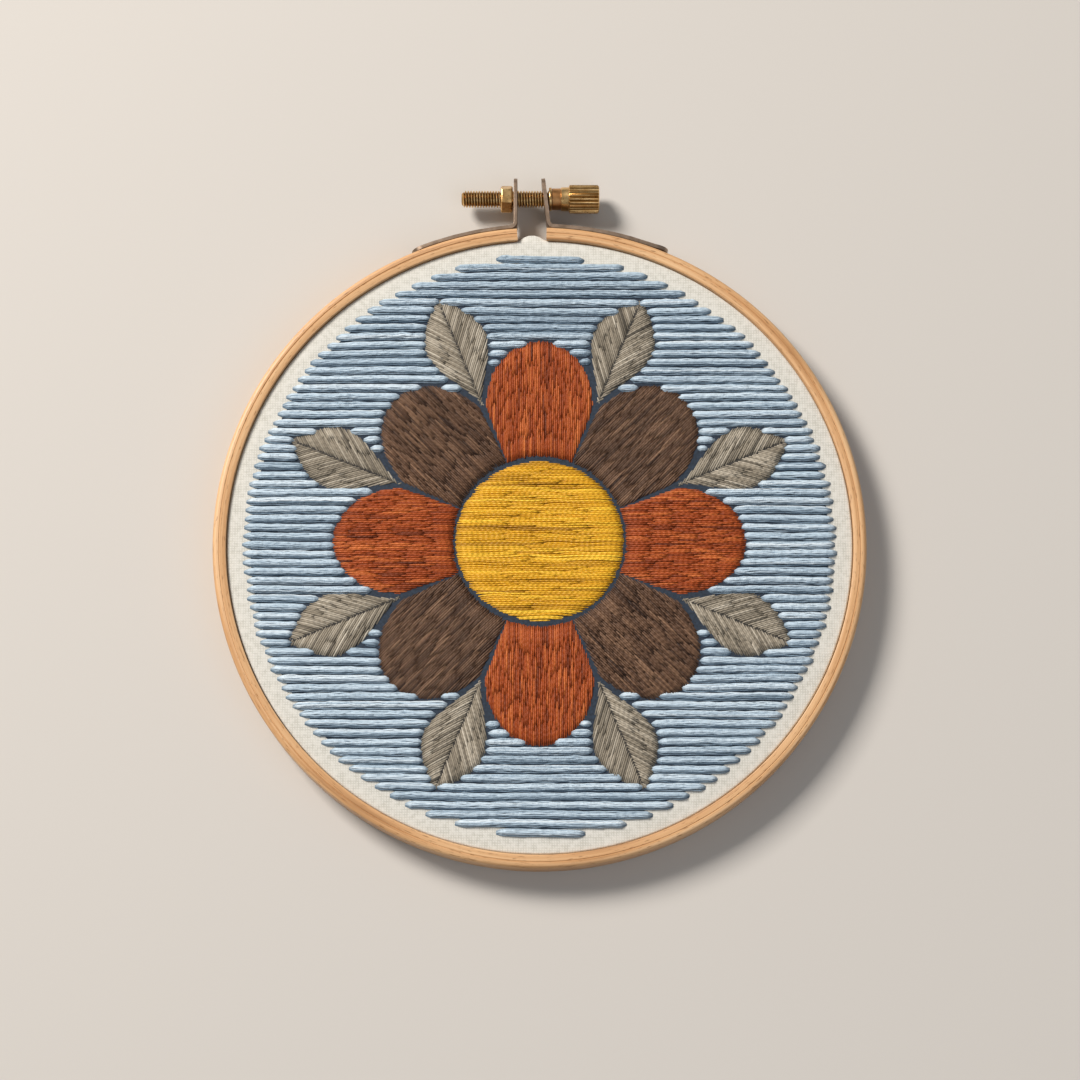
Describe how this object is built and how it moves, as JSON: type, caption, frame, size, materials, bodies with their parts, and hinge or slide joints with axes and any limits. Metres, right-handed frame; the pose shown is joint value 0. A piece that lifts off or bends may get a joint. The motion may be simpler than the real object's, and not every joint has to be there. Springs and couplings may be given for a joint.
{
  "type": "embroidery hoop art, worked cotton in its wooden hoop",
  "caption": "Round wooden embroidery hoop with a brass clamp screw, holding white cotton worked with a satin-stitch flower on a ground of laid blue rows.",
  "frame": {"origin": "the middle of the part's box in plan, on the surface that its back rests on", "axes": "+X to the right across the hoop and along the clamp screw towards its head, +Y from the hoop's middle towards the screw, +Z out of the worked face"},
  "size_m": [0.16, 0.1739, 0.0097],
  "materials": {
    "beech": "bent beech, smooth sanded, fine grain along the hoop",
    "cotton": "white plain-weave cotton, matt",
    "strip_metal": "dull warm-grey plated strip",
    "brass": "turned brass, slightly worn",
    "blue_thread": "pale blue cotton floss, laid in rows",
    "yellow_thread": "yellow cotton floss, satin stitch",
    "rust_thread": "rust cotton floss, dense satin stitch",
    "brown_thread": "brown cotton floss, dense satin stitch",
    "grey_thread": "warm grey cotton floss, dense satin stitch"
  },
  "bodies": {
    "hoop": {"outer_hoop": "beech", "inner_hoop": "beech", "cloth": "cotton", "bracket_left": "strip_metal", "bracket_right": "strip_metal", "washer": "brass", "rows": "blue_thread", "centre": "yellow_thread", "petal_1": "rust_thread", "petal_2": "brown_thread", "petal_3": "rust_thread", "petal_4": "brown_thread", "petal_5": "rust_thread", "petal_6": "brown_thread", "petal_7": "rust_thread", "petal_8": "brown_thread", "leaf_1": "grey_thread", "leaf_2": "grey_thread", "leaf_3": "grey_thread", "leaf_4": "grey_thread", "leaf_5": "grey_thread", "leaf_6": "grey_thread", "leaf_7": "grey_thread", "leaf_8": "grey_thread"},
    "screw": {"screw": "brass"},
    "nut": {"nut": "brass"}
  },
  "joints": [
    {"name": "screw_turn", "type": "hinge", "parent": "hoop", "child": "screw", "pos_m": [0, 0.0818, 0.00475], "axis": [1, 0, 0], "range_deg": [0, 4680]},
    {"name": "nut_travel", "type": "slide", "parent": "hoop", "child": "nut", "axis": [-1, 0, 0], "range_m": [0, 0.0091]}
  ],
  "couplings": [
    {"joint": "screw_turn", "follows": "nut_travel", "rad_per_m": 8976}
  ]
}
